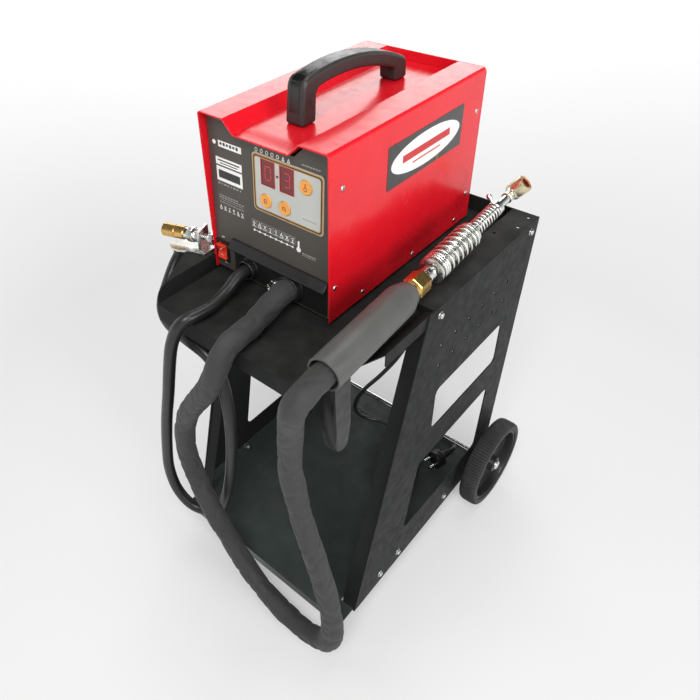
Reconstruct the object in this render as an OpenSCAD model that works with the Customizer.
// Trolley-mounted panel-beating spot welder: a sheet-steel power unit on a two-wheel cart,
// with a slide-hammer gun, an earth clamp and their leads.
// Millimetres, +Z up. The origin is on the floor below the middle of the cart.
// The control panel faces -Y; the gun lies along the +X side of the top tray.

/* [Power unit] */
// Width of the case
case_w = 225; // [215:1:228]
// Depth of the case, front rim to rear panel
case_d = 370; // [350:1:380]
// Height of the case
case_h = 250; // [235:1:270]
// Depth of the valley along the case top
valley_drop = 16; // [10:1:24]
// Backward tilt of the front panel in degrees
panel_tilt = 2.2; // [0:0.2:6]

/* [Trolley] */
// Half of the width over the two side plates
plate_x = 192; // [185:1:200]
// Height of the top tray's floor
tray_z = 576; // [560:1:600]
// Height of the tray's walls
wall_h = 28; // [20:1:34]
// Height of the lower shelf's surface
shelf_z = 55; // [50:1:70]
// Sheet thickness
sheet = 2; // [1.5:0.1:2.5]
// Radius of the rear wheels
wheel_r = 90; // [80:1:100]
// Width of the rear wheels
wheel_w = 33; // [25:1:40]
// Radius of the axle
axle_r = 5; // [4:0.5:6]

/* [Gun] */
// Radius of the gun's body tube
gun_r = 24; // [22:0.5:26]
// Radius of the hammer rod
rod_r = 7; // [6:0.5:8]
// Free travel of the slide hammer
hammer_travel = 32; // [10:1:36]

/* [Leads] */
// Diameter of the earth lead
earth_d = 19; // [16:1:20]
// Diameter of the gun lead's fabric sleeve
sleeve_d = 36; // [30:1:38]
// Diameter of the mains lead
mains_d = 8; // [7:0.5:10]

/* [Hidden] */
$fn = 48;

case_x = -32;                       // middle of the case
case_y = -149;                      // front rim of the case
case_z = tray_z + 6;                // underside of the case, on its feet
ridge_x = 65;                       // inner top edge of each ridge
floor_x = ridge_x - valley_drop;    // valley floor's edge, on a 45 degree side
lip_y = 32;                         // where the valley floor starts to fall to the front
lip_drop = 1.5;                       // how far it falls
tray_x = 146;                       // inner face of the tray's side walls
tray_front = -266;
tray_rear = 253;
ledge_z = tray_z + wall_h;          // height of the ledges and wall tops
plate_in = plate_x - sheet;         // inner face of a side plate
plate_low = 47;                     // lower edge of the side plates
axle_y = 176;
axle_z = wheel_r;
wheel_in = plate_x + 16;            // inner face of a wheel
hub_out = wheel_in + wheel_w - 3;
shaft_gap = 0.06;                   // running clearance on every shaft

gun_start = [164.8, -264.4, 623.2];       // middle of the gun's open rear end
gun_yaw = 2;
gun_pitch = 2.1;
body_len = 187;
hammer_s = 245;                     // where the hammer starts along the gun's axis
hammer_len = 112;
spring_end = 433;                   // front end of the buffer spring
rod_end = 493;

clamp_at = [-167, -150, 627];       // where the clamp's stud leaves its plate
clamp_turn = 199.5;

earth_at = [-40, 22];               // terminal centres on the case front
gun_at = [42, 27];

// ---------- frames ----------
module in_case() { translate([case_x, case_y, case_z]) children(); }
module on_panel() { in_case() translate([0, 4, 3]) rotate([-panel_tilt, 0, 0]) children(); }
module along_gun(s) {
    translate(gun_start) rotate([0, 90 - gun_pitch, 90 + gun_yaw]) translate([0, 0, s]) children();
}
module at_clamp() { translate(clamp_at) rotate([0, 90, clamp_turn]) children(); }
module both_sides() { children(); mirror([1, 0, 0]) children(); }
// Turns a profile drawn in Y and Z into a slab of thickness t that starts at x
module slab_x(x, t) { translate([x, 0, 0]) rotate([90, 0, 90]) linear_extrude(t) children(); }
// Turns a profile drawn in X and Z into a slab of depth t that starts at y
module slab_y(y, t) { translate([0, y + t, 0]) rotate([90, 0, 0]) linear_extrude(t) children(); }
module ring(outer, inner, h) {
    difference() {
        cylinder(r = outer, h = h);
        translate([0, 0, -1]) cylinder(r = inner, h = h + 2);
    }
}
function arc(x, y, r, a0, a1, n = 5) =
    [for (i = [0 : n]) let (a = a0 + (a1 - a0) * i / n) [x + r * cos(a), y + r * sin(a)]];
module round_rect(w, h, r) {
    polygon(concat(arc(w / 2 - r, h / 2 - r, r, 0, 90), arc(r - w / 2, h / 2 - r, r, 90, 180),
        arc(r - w / 2, r - h / 2, r, 180, 270), arc(w / 2 - r, r - h / 2, r, 270, 360)));
}

// ---------- swept cords and springs ----------
function unit(v) = v / norm(v);
function tangent(p, i) = unit(p[min(i + 1, len(p) - 1)] - p[max(i - 1, 0)]);
function carry(side, t) = unit(side - (side * t) * t);
function sides(p, i = 0, s = [0.31, 0.17, 0.93]) =
    i == len(p) ? [] : let (n = carry(s, tangent(p, i))) concat([n], sides(p, i + 1, n));
module tube(p, r, n) {
    s = sides(p);
    points = [for (i = [0 : len(p) - 1]) for (j = [0 : n - 1])
        let (a = 360 * j / n) p[i] + r * (cos(a) * s[i] + sin(a) * cross(tangent(p, i), s[i]))];
    walls = [for (i = [0 : len(p) - 2]) for (j = [0 : n - 1]) for (half = [0, 1])
        let (a = i * n + j, b = i * n + (j + 1) % n)
        half == 0 ? [a, a + n, b + n] : [a, b + n, b]];
    start = [for (j = [0 : n - 1]) j];
    finish = [for (j = [n - 1 : -1 : 0]) (len(p) - 1) * n + j];
    polyhedron(points, concat(walls, [start, finish]), convexity = 12);
}
// A coil spring along +Z: heights is the list of heights that the wire reaches after each turn
module coil(r, wire, heights, steps, n) {
    turns = len(heights) - 1;
    tube([for (i = [0 : turns * steps])
        let (k = min(floor(i / steps), turns - 1), f = i / steps - k, a = 360 * i / steps)
        [r * cos(a), r * sin(a), heights[k] + (heights[k + 1] - heights[k]) * f]], wire, n);
}

// Routes of the free leads: round numbers, from the power unit outwards
earth_route = [
    [-72, -147.4, 607.2], [-72, -158, 607.6], [-72, -174, 605], [-71, -200, 593],
    [-69, -230, 588], [-72, -256, 587], [-75, -266, 586.4], [-79, -274, 583.6],
    [-84, -282, 574], [-91, -287, 556], [-100, -290, 528], [-114, -290, 480],
    [-130, -290, 420], [-150, -290, 350], [-168, -290, 270], [-178, -290, 200],
    [-172, -287, 142], [-148, -280, 108], [-116, -268, 104], [-88, -259, 130],
    [-66, -255, 188], [-46, -255, 270], [-34, -255, 350], [-32, -254, 420], [-40, -253, 480],
    [-62, -253, 512], [-98, -254, 522], [-138, -250, 522], [-170, -242, 526], [-190, -228, 536],
    [-201, -206, 552], [-206, -184, 574], [-205, -170, 591], [-205, -170, 603.9]];
gun_route = [
    [10, -147.3, 610.2], [10, -158, 610.6], [10, -172, 610], [8, -200, 599], [11, -232, 595],
    [14, -258, 595], [13, -274, 593], [11, -288, 580], [2, -294, 552], [-20, -295, 506],
    [-52, -294, 458], [-84, -292, 408], [-106, -291, 346], [-106, -290, 280],
    [-88, -290, 218], [-52, -290, 148], [-4, -290, 86], [46, -291, 44], [98, -292, 26],
    [148, -292, 26], [186, -291, 48], [198, -290, 100], [190, -290, 180], [170, -290, 260],
    [144, -290, 350], [128, -290, 430], [130, -292, 500], [144, -302, 560], [158, -312, 598],
    [165, -308, 616], [165.5, -292, 622], [165, -270, 623], [164.2, -248, 624]];
// The mains lead runs from its gland to a folded hank on the shelf, and from there to its plug
mains_route = [
    [28, 228, 622], [28, 250, 622], [29, 267, 617.4], [30, 279.4, 605],
    [32, 284, 588], [34, 282, 560], [39, 268, 505], [44, 238, 445],
    [46, 198, 392], [42, 152, 345], [34, 112, 305], [16, 84, 268],
    [-6, 72, 232], [-24, 70, 194], [-35, 75, 156], [-35, 87, 125],
    [-27, 101, 107], [-14, 114, 98], [0, 123, 93.5], [14, 125.8, 90],
    [29, 121.3, 86.6], [38.5, 112.5, 84.6], [42.6, 104.7, 83.6]];
hank_at = [80, 72, shelf_z];
hank_turn = -70;
hank_long = 160;                    // over the hank's round ends
hank_wide = 73;
hank_high = 28;
hank_band = 17;                     // two cords side by side
tail_route = [
    [92.3, 130.7, 77.5], [91.5, 138, 77], [88.8, 157.7, 75.5], [87.5, 173.2, 72],
    [94, 187.3, 67], [106.7, 196.2, 63.5], [122.2, 197.5, 63], [136.5, 191.4, 66],
    [145.8, 179, 70.5], [147.3, 167.2, 73.6], [146, 160, 74]];
plug_at = [146, 160, 74];
plug_turn = 252.7;

// ---------- power unit: casing ----------
// Outline of the cover seen from the front, moved in by t and with its valley at height v
function cover_line(t, v) = let (x = case_w / 2 - t, z = case_h - t, r = 6 - t, k = 0.41 * t,
    side = concat([[x, 0]], arc(x - r, z - r, r, 0, 90, 4),
        [[ridge_x + k, z], [ridge_x + k - (z - v), v]]))
    concat(side, [for (i = [len(side) - 1 : -1 : 0]) [-side[i][0], side[i][1]]]);
module cover_ring(v) {
    difference() {
        polygon(cover_line(0, v));
        translate([0, -0.01]) polygon(cover_line(sheet, v - sheet));
    }
}
case_screw_spots = [[27, 197], [12, 54], [75, 11], [203, 9], [326, 11], [354, 188], [354, 49]];
module case_cover() {
    color("crimson") in_case() difference() {
        valley = case_h - valley_drop;
        union() {
            slab_y(lip_y, case_d - sheet - lip_y) cover_ring(valley);
            slab_y(0, lip_y) difference() {
                cover_ring(valley - lip_drop);
                translate([-floor_x - 2, valley - lip_drop - sheet - 1])
                    square([2 * floor_x + 4, sheet + 1.01]);
            }
            slab_x(-floor_x, 2 * floor_x) polygon([
                [6, valley - lip_drop], [lip_y, valley], [lip_y, valley - sheet],
                [6, valley - lip_drop - sheet]]);
        }
        for (spot = case_screw_spots)
            translate([-case_w, spot[0], spot[1]]) rotate([0, 90, 0]) cylinder(r = 2, h = 2 * case_w);
    }
}
module base_pan() {
    w = case_w - 2 * sheet - 1;
    color("dimgray") in_case() {
        translate([-w / 2, 8, 0]) cube([w, case_d - 12, sheet]);
        both_sides() difference() {
            translate([w / 2 - sheet, 8, sheet]) cube([sheet, case_d - 12, 20]);
            for (y = [75, 203, 326]) translate([w / 2 - 5, y, 10]) rotate([0, 90, 0])
                cylinder(r = 3, h = 10);
        }
    }
}
fan_at = [-40, 140];
gland_at = [60, 40];
module rear_panel() {
    color("crimson") in_case() difference() {
        slab_y(case_d - sheet, sheet) polygon(concat([[case_w / 2, 0]],
            arc(case_w / 2 - 8, case_h - 8, 8, 0, 90), arc(8 - case_w / 2, case_h - 8, 8, 90, 180),
            [[-case_w / 2, 0]]));
        for (k = [-3 : 3]) {
            half = sqrt(1296 - 100 * k * k);
            translate([fan_at[0] - half, case_d - 5, fan_at[1] + 10 * k - 2.5]) cube([2 * half, 9, 5]);
        }
        translate([gland_at[0], case_d + 1, gland_at[1]]) rotate([90, 0, 0]) cylinder(r = 8, h = 5);
    }
}
panel_w = 219;
panel_top = 240;
module front_panel() {
    color([0.29, 0.27, 0.25]) on_panel() difference() {
        slab_y(0, sheet) polygon([[-panel_w / 2, 0], [panel_w / 2, 0], [panel_w / 2, panel_top],
            [ridge_x, panel_top], [floor_x - 2, panel_top - 18], [2 - floor_x, panel_top - 18],
            [-ridge_x, panel_top], [-panel_w / 2, panel_top]]);
        translate([36 - 56, -1, 130]) cube([112, 4, 76]);
        translate([-107, -1, 15]) cube([22, 4, 31]);
        translate([earth_at[0], -1, 22]) rotate([-90, 0, 0]) cylinder(r = 12, h = 4);
        translate([gun_at[0], -1, 25]) rotate([-90, 0, 0]) cylinder(r = 12, h = 4);
    }
}

// ---------- power unit: controls ----------
display_at = [36, 168.5];             // middle of the display plate on the panel
display_w = 122;
display_h = 84;
button_r = 10;
button_spots = [[68, 187.5], [-2, 145.5], [31.5, 145.5]];
window_spots = [[3, 186.5], [36, 186.5]];
module control_panel() {
    color([0.74, 0.75, 0.73]) on_panel() difference() {
        slab_y(-1.5, 1.5) translate(display_at) round_rect(display_w, display_h, 6);
        for (b = button_spots)
            translate([b[0], -2, b[1]]) rotate([-90, 0, 0]) cylinder(r = button_r + 0.4, h = 3);
        for (w = window_spots) translate([w[0] - 12, -2, w[1] - 18]) cube([24, 3, 36]);
    }
}
module display_windows() {
    color("maroon") on_panel() {
        for (w = window_spots) translate([w[0] - 12, -1.2, w[1] - 18]) cube([24, 2, 36]);
    }
}
module button(spot) {
    color("orange") on_panel() translate([spot[0], -3, spot[1]]) rotate([-90, 0, 0])
        cylinder(r = button_r, h = 5);
}
module power_button() { button(button_spots[0]); }
module time_button() { button(button_spots[1]); }
module mode_button() { button(button_spots[2]); }
rocker_at = [-96, 30.5];
rocker_lean = 7;
module rocker_frame() {
    color([0.08, 0.08, 0.08]) on_panel() translate([rocker_at[0], 0, rocker_at[1]]) difference() {
        union() {
            translate([-12.5, -3, -17]) cube([25, 3, 34]);
            translate([-10.8, 0, -15.3]) cube([21.6, 14, 30.6]);
        }
        translate([-9.3, -4, -13.8]) cube([18.6, 16, 27.6]);
        translate([-10.2, 4, 0]) rotate([0, 90, 0]) cylinder(r = 1.5 + shaft_gap, h = 20.4);
    }
}
// Rests tipped towards its lower half and turns 14 degrees to the upper half
module rocker_switch() {
    color([0.88, 0.22, 0.14]) on_panel() translate([rocker_at[0], 4, rocker_at[1]])
        rotate([rocker_lean, 0, 0]) {
            slab_x(-8.8, 17.6) polygon([[-11, -11.5], [-7, 0], [-11, 11.5], [-4, 11.8], [4, 3],
                [4, -3], [-4, -11.8]]);
            translate([-9.9, 0, 0]) rotate([0, 90, 0]) cylinder(r = 1.5, h = 19.8);
        }
}
module terminal_hood() {
    color([0.2, 0.2, 0.19]) on_panel() slab_x(-74, 181)
        polygon([[0, 60], [-3, 60], [-13, 50], [-13, 47.4], [-10, 47.4], [0, 56]]);
}
module terminal(spot, bore) {
    color([0.15, 0.15, 0.15]) on_panel() translate([spot[0], 0, spot[1]]) rotate([90, 0, 0]) {
        difference() {
            union() {
                cylinder(r = bore + 4, h = 3);
                cylinder(r = bore + 2.5, h = 12);
            }
            translate([0, 0, 3]) cylinder(r = bore, h = 12);
        }
        translate([0, 0, -8]) cylinder(r = 7, h = 8);
    }
}
module earth_terminal() { terminal([earth_at[0], 22], earth_d / 2 + 3); }
module gun_terminal() { terminal([gun_at[0], 25], sleeve_d / 2 - 0.5); }
module trigger_socket() {
    color("silver") on_panel() translate([6, 0, 12]) rotate([90, 0, 0]) {
        ring(7.5, 4.5, 9);
        cylinder(r = 4.5, h = 3);
    }
}
module side_label() {
    color([0.1, 0.1, 0.1]) in_case() slab_x(case_w / 2, 0.4) translate([217, 182])
        round_rect(190, 64, 1);
}

// ---------- power unit: handle, screws and feet ----------
handle_z = case_h - valley_drop;
handle_w = 31;
handle_peak = [146, 302];           // y and z of the handle's highest point
handle_bow = 349;                   // radius of the arch along the top
handle_mid = handle_peak[1] - handle_bow;
function corner_z(bow, c) = handle_mid + sqrt(pow(bow - c[0], 2) - c[1] * c[1]);
function corner_turn(bow, c) = 90 - asin(c[1] / (bow - c[0]));
// Profile of the arch with a front and a rear corner, each as radius and distance from the peak
function handle_line(bow, front, rear, feet) = concat([[feet[0], handle_z]],
    arc(handle_peak[0] + front[1], corner_z(bow, front), front[0], 180, corner_turn(bow, front), 5),
    arc(handle_peak[0], handle_mid, bow, corner_turn(bow, front), corner_turn(bow, rear), 12),
    arc(handle_peak[0] + rear[1], corner_z(bow, rear), rear[0], corner_turn(bow, rear), 0, 5),
    [[feet[1], handle_z]]);
module carry_handle() {
    color([0.24, 0.24, 0.24]) in_case() slab_x(-handle_w / 2, handle_w) difference() {
        polygon(handle_line(handle_bow, [16, -59], [14, 145], [66, 306]));
        translate([0, -0.01]) polygon(handle_line(handle_bow - 21, [12, -37], [10, 120], [95, 277]));
    }
}
module case_screws() {
    color("silver") in_case() both_sides() for (spot = case_screw_spots)
        translate([case_w / 2, spot[0], spot[1]]) rotate([0, 90, 0]) {
            cylinder(r = 4, h = 1.4);
            translate([0, 0, -3]) cylinder(r = 1.9, h = 3);
        }
}
module case_feet() {
    color([0.05, 0.05, 0.05]) in_case() for (x = [-85, 85]) for (y = [40, 330])
        translate([x, y, -6]) cylinder(r = 10, h = 6);
}

// ---------- power unit: inside ----------
core_at = [14, 190];
module transformer_core() {
    color([0.35, 0.35, 0.37]) in_case() translate([core_at[0], core_at[1], sheet]) difference() {
        translate([-70, -30, 0]) cube([140, 60, 122]);
        both_sides() translate([20, -31, 22]) cube([28, 62, 80]);
    }
}
module coil_block(z, h) {
    in_case() translate([core_at[0], core_at[1], z]) difference() {
        translate([-44, -54, 0]) cube([88, 108, h]);
        translate([-20.5, -30.5, -1]) cube([41, 61, h + 2]);
    }
}
module primary_coil() { color([0.5, 0.2, 0.1]) coil_block(sheet + 24, 46); }
module secondary_coil() { color([0.75, 0.45, 0.25]) coil_block(sheet + 72, 24); }
module busbars() {
    color([0.8, 0.5, 0.3]) in_case() for (bar = [[-40, 25], [42, 28]])
        translate([bar[0] - 10, 0, 0]) slab_x(0, 20) polygon([[16, bar[1] - 8], [19, bar[1] - 8],
            [19, 78], [133, 78], [133, 86], [130, 86], [130, 81], [16, 81]]);
}
module control_board() {
    color("darkgreen") in_case() {
        translate([-26, 34, 116]) cube([130, 2, 100]);
        for (x = [-14, 22, 58]) translate([x, 36, 130]) cube([24, 16, 30]);
    }
}
module heat_sink() {
    color("lightgray") in_case() translate([10, 268, sheet]) {
        cube([86, 60, 8]);
        for (k = [0 : 7]) translate([k * 11.8, 0, 8]) cube([3, 60, 30]);
    }
}
module thyristors() {
    color([0.12, 0.12, 0.12]) in_case() for (x = [22, 62])
        translate([x, 250, sheet]) cube([24, 16, 30]);
}
module fan_frame() {
    color([0.12, 0.12, 0.12]) in_case() translate([fan_at[0], case_d - sheet, fan_at[1]])
        rotate([90, 0, 0]) difference() {
            translate([-42, -42, 0]) cube([84, 84, 24]);
            translate([0, 0, -1]) cylinder(r = 39, h = 23);
            translate([0, 0, 21]) for (a = [45 : 90 : 315]) rotate(a) translate([14, -8, 0])
                cube([23, 16, 5]);
        }
}
module fan_rotor() {
    color([0.2, 0.2, 0.2]) in_case() translate([fan_at[0], case_d - sheet - 4, fan_at[1]])
        rotate([90, 0, 0]) {
            cylinder(r = 13, h = 16);
            for (a = [0 : 51.4286 : 359]) rotate(a) translate([12, -1.2, 3]) rotate([35, 0, 0])
                cube([24, 2.4, 11]);
        }
}
module mains_gland() {
    color([0.1, 0.1, 0.1]) in_case() translate([gland_at[0], case_d, gland_at[1]])
        rotate([-90, 0, 0]) {
            ring(12, mains_d / 2 + 0.2, 6);
            translate([0, 0, 6]) difference() {
                cylinder(r1 = 9, r2 = 5.6, h = 22);
                translate([0, 0, -1]) cylinder(r = mains_d / 2 + 0.2, h = 24);
            }
            translate([0, 0, -10]) cylinder(r = 7.9, h = 10);
        }
}

// ---------- trolley ----------
// Outline of a ledge from above: its front corner is cut off from the wall to the outer edge
module ledge_outline(start, full) {
    polygon([[tray_x + sheet, tray_rear], [plate_in, tray_rear], [plate_in, full],
        [tray_x + sheet, start]]);
}
module tray_wall() {
    slab_x(tray_x, sheet) polygon(concat([[tray_rear, tray_z - sheet], [tray_rear, ledge_z]],
        arc(tray_front + 26, ledge_z - 24, 24, 90, 180), [[tray_front + 2, tray_z - sheet]]));
}
trough = 14;
trough_end = -60;                   // the gun's body lies in the trough, ahead of here
module top_tray() {
    color([0.2, 0.21, 0.21]) difference() {
        union() {
            translate([-tray_x, tray_front, tray_z - sheet])
                cube([2 * tray_x, tray_rear - tray_front, sheet]);
            translate([-tray_x - sheet, tray_front, tray_z - 30]) cube([2 * tray_x + 2 * sheet, sheet, 30]);
            translate([-tray_x, tray_rear - sheet, tray_z]) cube([2 * tray_x, sheet, wall_h]);
            both_sides() tray_wall();
            mirror([1, 0, 0]) {
                translate([0, 0, ledge_z - sheet]) linear_extrude(sheet) ledge_outline(-245, -165);
                translate([plate_in - sheet, -165, ledge_z - 22])
                    cube([sheet, tray_rear + 165, 22]);
            }
            mid = (tray_x + plate_x) / 2;
            intersection() {
                slab_y(tray_front, trough_end - tray_front) polygon([
                    [tray_x + sheet, ledge_z], [mid, ledge_z - trough], [plate_in, ledge_z],
                    [plate_in, ledge_z - 2.4], [mid, ledge_z - trough - 2.4],
                    [tray_x + sheet, ledge_z - 2.4]]);
                translate([0, 0, ledge_z - 40]) linear_extrude(60) ledge_outline(-215, -171);
            }
            slab_y(trough_end, sheet) polygon([[tray_x + 1, ledge_z - 1], [mid, ledge_z - trough - 1],
                [plate_in - 1, ledge_z - 1]]);
            translate([tray_x + 1, trough_end, ledge_z - sheet])
                cube([plate_in - tray_x - 1, tray_rear - trough_end, sheet]);
            translate([plate_in - sheet, -171, ledge_z - 22]) cube([sheet, tray_rear + 171, 21]);
        }
        for (y = [203, 240]) translate([179, y, ledge_z - 30]) cylinder(r = 3, h = 40);
        translate([158, 165, ledge_z - 30]) cylinder(r = 3, h = 40);
        translate([118, tray_front + 5, tray_z - 22]) rotate([90, 0, 0]) cylinder(r = 3, h = 10);
        for (spot = plate_bolt_spots) if (spot[1] > 500)
            translate([-plate_x - 1, spot[0], spot[1]]) rotate([0, 90, 0])
                cylinder(r = 3.2, h = 2 * plate_x + 2);
    }
}
front_top = -73;
front_low = -222;
rear_top = tray_rear;
rear_low = 219;
plate_bolt_spots = [[-45, 588], [227, 588], [-150, 72], [-95, 72], [60, 72], [195, 72]];
peg_pitch = 40;
peg_r = 3.5;
module window(points, r) {
    hull() for (p = points) translate(p) circle(r = r, $fn = 24);
}
module side_plate() {
    color([0.19, 0.2, 0.2]) {
        difference() {
            slab_x(plate_in, sheet) difference() {
                polygon([[front_top, ledge_z], [rear_top, ledge_z], [rear_low, plate_low],
                    [front_low, plate_low]]);
                window([[-16, 416], [168, 416], [168, 352], [-16, 352]], 12);
                window([[-46, 268], [159, 268], [151, 140], [-70, 140]], 12);
            }
            for (spot = plate_bolt_spots) translate([plate_in - 1, spot[0], spot[1]])
                rotate([0, 90, 0]) cylinder(r = 3.2, h = 4);
            for (z = [482, 522]) for (k = [0 : 5])
                translate([plate_in - 1, -30 + peg_pitch * k, z])
                    rotate([0, 90, 0]) cylinder(r = peg_r, h = 4);
            translate([plate_in - 1, axle_y, axle_z]) rotate([0, 90, 0])
                cylinder(r = axle_r + 0.2, h = 4);
        }
        slab_x(plate_in - 24, 24) polygon([[front_top, ledge_z - 24], [front_low, plate_low],
            [front_low + 2.1, plate_low], [front_top + 2.1, ledge_z - 24]]);
        slab_x(plate_in - 18, 18) polygon([[rear_top - 1.4, ledge_z - 24], [rear_low, plate_low],
            [rear_low - 2.1, plate_low], [rear_top - 3.5, ledge_z - 24]]);
    }
}
module right_plate() { side_plate(); }
module left_plate() { mirror([1, 0, 0]) side_plate(); }
shelf_front = -256;
shelf_rear = 206;
// The shelf's front edge stands ahead of the side plates, and passes between their flanges
module lower_shelf() {
    w = plate_in - 0.2;
    low = shelf_z - sheet;
    color([0.16, 0.17, 0.17]) difference() {
        union() {
            translate([-w, shelf_front, low]) cube([2 * w, front_low - 1 - shelf_front, sheet]);
            translate([26 - w, shelf_front, low]) cube([2 * w - 52, 60, sheet]);
            translate([-w, front_low + 7, low]) cube([2 * w, shelf_rear - front_low - 7, sheet]);
            translate([-w, shelf_front, shelf_z - 20]) cube([2 * w, sheet, 20]);
            both_sides() translate([w - sheet, front_low + 16, shelf_z])
                cube([sheet, shelf_rear - front_low - 26, 28]);
        }
        for (spot = plate_bolt_spots) if (spot[1] < 100)
            translate([-plate_x - 1, spot[0], spot[1]]) rotate([0, 90, 0])
                cylinder(r = 3.2, h = 2 * plate_x + 2);
    }
}
module bolt() {
    cylinder(r = 3, h = 9);
    translate([0, 0, 7]) cylinder(r = 5.8, h = 4, $fn = 6);
    translate([0, 0, -4]) cylinder(r = 5.8, h = 4, $fn = 6);
}
module trolley_bolts() {
    color("silver") {
        both_sides() for (spot = plate_bolt_spots) translate([plate_x - 7, spot[0], spot[1]])
            rotate([0, 90, 0]) bolt();
        translate([118, tray_front, tray_z - 22]) rotate([90, 0, 0]) {
            cylinder(r = 5, h = 2.5);
            translate([0, 0, -4]) cylinder(r = 2.9, h = 4);
        }
    }
}
module axle() {
    color("silver") translate([-hub_out - 5, axle_y, axle_z]) rotate([0, 90, 0])
        cylinder(r = axle_r, h = 2 * hub_out + 10);
}
module axle_caps() {
    color("silver") both_sides() {
        translate([hub_out + 0.5, axle_y, axle_z]) rotate([0, 90, 0]) ring(9, axle_r, 4.5);
        translate([plate_x, axle_y, axle_z]) rotate([0, 90, 0])
            ring(8.5, axle_r, wheel_in - plate_x - 0.5);
    }
}
module wheel_frame() { translate([wheel_in, axle_y, axle_z]) rotate([0, 90, 0]) children(); }
rim_r = wheel_r - 15;
module tyre() {
    color([0.07, 0.07, 0.07]) wheel_frame() rotate_extrude($fn = 96) polygon([
        [rim_r, 0], [wheel_r - 4, 0], [wheel_r, 4], [wheel_r, wheel_w - 4],
        [wheel_r - 4, wheel_w], [rim_r, wheel_w]]);
}
module rim() {
    color([0.1, 0.1, 0.1]) wheel_frame() rotate_extrude($fn = 96) polygon([
        [axle_r + shaft_gap, 0], [17, 0], [17, 6], [rim_r - 6, 6], [rim_r - 6, 2], [rim_r, 2],
        [rim_r, wheel_w - 2], [rim_r - 4, wheel_w - 2], [rim_r - 6, 14], [17, 12],
        [15, wheel_w - 3], [axle_r + shaft_gap, wheel_w - 3]]);
}
module right_tyre() { tyre(); }
module left_tyre() { mirror([1, 0, 0]) tyre(); }
module right_rim() { rim(); }
module left_rim() { mirror([1, 0, 0]) rim(); }
foot_at = [152, -200];
module front_feet() {
    color([0.16, 0.17, 0.17]) both_sides() translate([foot_at[0], foot_at[1], 0]) {
        translate([0, 0, shelf_z - sheet - 3]) cylinder(r = 21, h = 3);
        translate([0, 0, 12]) cylinder(r = 11, h = shelf_z - sheet - 15);
    }
}
module foot_pads() {
    color([0.05, 0.05, 0.05]) both_sides() translate([foot_at[0], foot_at[1], 0])
        cylinder(r1 = 15, r2 = 17, h = 12);
}

// ---------- gun ----------
module gun_body() {
    color([0.42, 0.42, 0.4]) along_gun(0) difference() {
        rotate_extrude($fn = 64) polygon([[0, 0], [gun_r - 1, 0], [gun_r, 1], [gun_r, body_len - 22],
            [gun_r - 6, body_len], [0, body_len]]);
        translate([0, 0, -1]) cylinder(r = gun_r - 3, h = 60);
    }
}
grip_len = 135;
module gun_grip() {
    color([0.08, 0.08, 0.08]) along_gun(6) difference() {
        translate([gun_r - 6, 0, 0]) rotate([90, 0, 0]) translate([0, 0, -12])
            linear_extrude(24) polygon(concat([[0, 0], [0, 32]],
                arc(grip_len - 14, 16, 15, 90, -90, 8)));
        translate([0, 0, -20]) cylinder(r = gun_r + 0.05, h = 80);
        translate([gun_r + 12, -4.2, 24]) cube([34, 8.4, 12]);
    }
}
module gun_trigger() {
    color([0.75, 0.1, 0.1]) along_gun(6) translate([gun_r + 15, -4, 30]) {
        cube([28, 8, 9]);
        translate([4, 1, 9]) cube([20, 6, 2]);
    }
}
module gun_fittings() {
    along_gun(body_len) {
        color("goldenrod") ring(15, 6, 9);
        color("goldenrod") translate([0, 0, 9]) difference() {
            cylinder(r = 17, h = 27, $fn = 6);
            translate([0, 0, -1]) cylinder(r = 6, h = 29);
        }
        color("silver") translate([0, 0, 36]) ring(11.5, rod_r, 18);
    }
}
module hammer_rod() {
    color("silver") along_gun(body_len + 36) {
        cylinder(r = rod_r, h = rod_end - body_len - 36);
    }
}
module slide_hammer() {
    color([0.6, 0.62, 0.6]) along_gun(hammer_s) difference() {
        union() {
            cylinder(r = 15, h = hammer_len);
            cylinder(r = 20, h = 4);
            translate([0, 0, hammer_len - 4]) cylinder(r = 18.5, h = 4);
        }
        translate([0, 0, -1]) cylinder(r = rod_r + shaft_gap, h = hammer_len + 2);
    }
}
module hammer_spring() {
    color([0.82, 0.82, 0.8]) along_gun(hammer_s)
        coil(18.6, 2.1, [6.4, 11, 15.6, 20.2, 33, 46, 59, 72, 85, 98, 105.4], 14, 6);
}
buffer_start = hammer_s + hammer_len;
module buffer_spring() {
    color([0.7, 0.72, 0.72]) along_gun(buffer_start)
        coil(11, 1.6, [for (k = [0 : 9]) 2 + k * (spring_end - buffer_start - 4) / 9], 12, 6);
}
module stop_collar() {
    color("silver") along_gun(spring_end) {
        ring(12.5, rod_r, 12);
        translate([0, 0, 6]) rotate([0, -90, -35]) {
            translate([0, 0, 12]) cylinder(r = 2, h = 8);
            translate([0, 0, 22]) sphere(r = 4.5);
        }
    }
}
// The electrode socket stands across the rod's end, up and to the side
socket_turn = [0, 41.5, 18];
module at_socket() {
    along_gun(rod_end + 12) rotate([0, gun_pitch - 90, 0]) rotate([0, 0, -90 - gun_yaw])
        rotate(socket_turn) children();
}
module tip_socket() {
    color([0.8, 0.8, 0.78]) difference() {
        union() {
            along_gun(rod_end - 16) cylinder(r = 9, h = 16);
            along_gun(rod_end) cylinder(r1 = 9, r2 = 13, h = 8);
            at_socket() translate([0, 0, -6]) cylinder(r = 14, h = 30);
        }
        along_gun(rod_end - 17) cylinder(r = rod_r, h = 17);
        at_socket() translate([0, 0, 7]) cylinder(r = 11, h = 20);
    }
}
module tip_liner() {
    color([0.72, 0.42, 0.22]) at_socket() translate([0, 0, 7]) difference() {
        cylinder(r = 10.95, h = 16);
        translate([0, 0, 2]) cylinder(r = 8, h = 16);
    }
}

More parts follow.
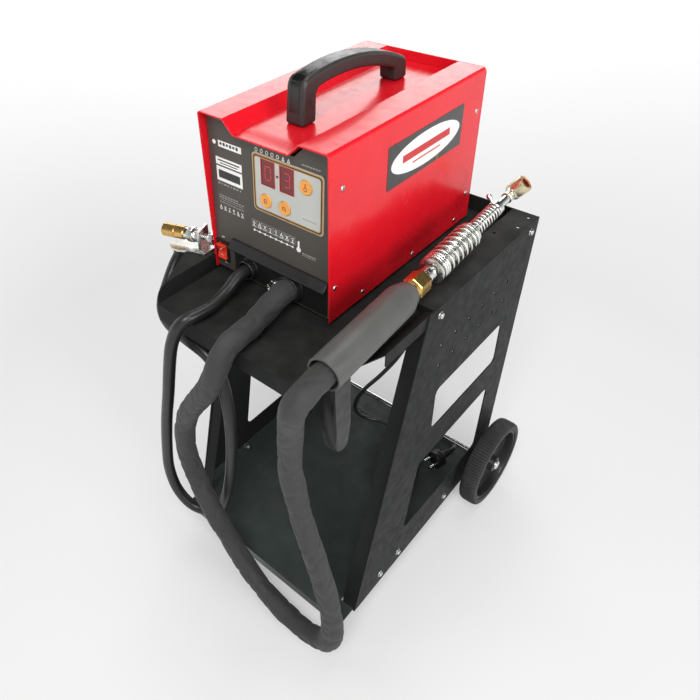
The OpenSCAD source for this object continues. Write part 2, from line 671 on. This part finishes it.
// ---------- earth clamp ----------
module clamp_plate() {
    color([0.55, 0.56, 0.55]) difference() {
        union() {
            translate([0, 0, ledge_z]) linear_extrude(4) polygon([[-152, -165], [-152, -120],
                [-184, -120], [-190, -148], [-206, -156], [-217, -166], [-217, -177],
                [-207, -183], [-194, -182], [-176, -172]]);
            translate([clamp_at[0], clamp_at[1], ledge_z + 4]) rotate([0, 0, clamp_turn - 180])
                translate([-2, -14, 0]) cube([5, 28, 34]);
        }
        at_clamp() translate([0, 0, -20]) cylinder(r = 5 + shaft_gap, h = 40);
    }
}
module clamp_screw() {
    at_clamp() {
        color("silver") {
            translate([0, 0, -22]) cylinder(r = 5, h = 52);
            translate([0, 0, 2.5]) cylinder(r = 11, h = 10, $fn = 6);
            translate([0, 0, 15]) cylinder(r = 12, h = 9, $fn = 6);
            translate([0, 0, 24]) cylinder(r = 9, h = 6);
            translate([0, 0, -20]) cylinder(r = 11, h = 8, $fn = 6);
        }
        color("goldenrod") translate([0, 0, 30]) difference() {
            cylinder(r = 10.5, h = 38);
            translate([0, 0, 30]) cylinder(r = 3, h = 10);
        }
    }
}

// ---------- leads ----------
module earth_lead() { color([0.06, 0.06, 0.06]) tube(earth_route, earth_d / 2, 10); }
module gun_lead() { color([0.3, 0.3, 0.29]) tube(gun_route, sleeve_d / 2 - 0.8, 10); }
module mains_lead() {
    color([0.05, 0.05, 0.05]) {
        tube(mains_route, mains_d / 2, 8);
        tube(tail_route, mains_d / 2, 8);
    }
}
module mains_hank() {
    r = hank_wide / 2;
    c = hank_long / 2 - r;
    color([0.05, 0.05, 0.05]) translate(hank_at) rotate(hank_turn) linear_extrude(hank_high) difference() {
        polygon(concat(arc(c, 0, r, -90, 90, 12), arc(-c, 0, r, 90, 270, 12)));
        polygon(concat(arc(c, 0, r - hank_band, -90, 90, 8), arc(-c, 0, r - hank_band, 90, 270, 8)));
    }
}
module mains_plug() {
    color([0.08, 0.08, 0.08]) translate(plug_at) rotate(plug_turn) {
        translate([0.8, 0, 0]) rotate([0, 90, 0]) cylinder(r1 = 5.5, r2 = 9, h = 21.2);
        translate([22, 0, 0]) rotate([0, 90, 0]) cylinder(r = 18, h = 20);
        for (y = [-9.5, 9.5]) translate([42, y, 0]) rotate([0, 90, 0])
            cylinder(r = 2.4, h = 19);
    }
}

case_cover();
base_pan();
rear_panel();
front_panel();
control_panel();
display_windows();
power_button();
time_button();
mode_button();
rocker_frame();
rocker_switch();
terminal_hood();
earth_terminal();
gun_terminal();
trigger_socket();
carry_handle();
case_screws();
case_feet();
side_label();
mains_gland();
transformer_core();
primary_coil();
secondary_coil();
busbars();
control_board();
heat_sink();
thyristors();
fan_frame();
fan_rotor();
top_tray();
left_plate();
right_plate();
lower_shelf();
trolley_bolts();
axle();
axle_caps();
left_tyre();
right_tyre();
left_rim();
right_rim();
front_feet();
foot_pads();
gun_body();
gun_grip();
gun_trigger();
gun_fittings();
hammer_rod();
slide_hammer();
hammer_spring();
buffer_spring();
stop_collar();
tip_socket();
tip_liner();
clamp_plate();
clamp_screw();
earth_lead();
gun_lead();
mains_lead();
mains_hank();
mains_plug();
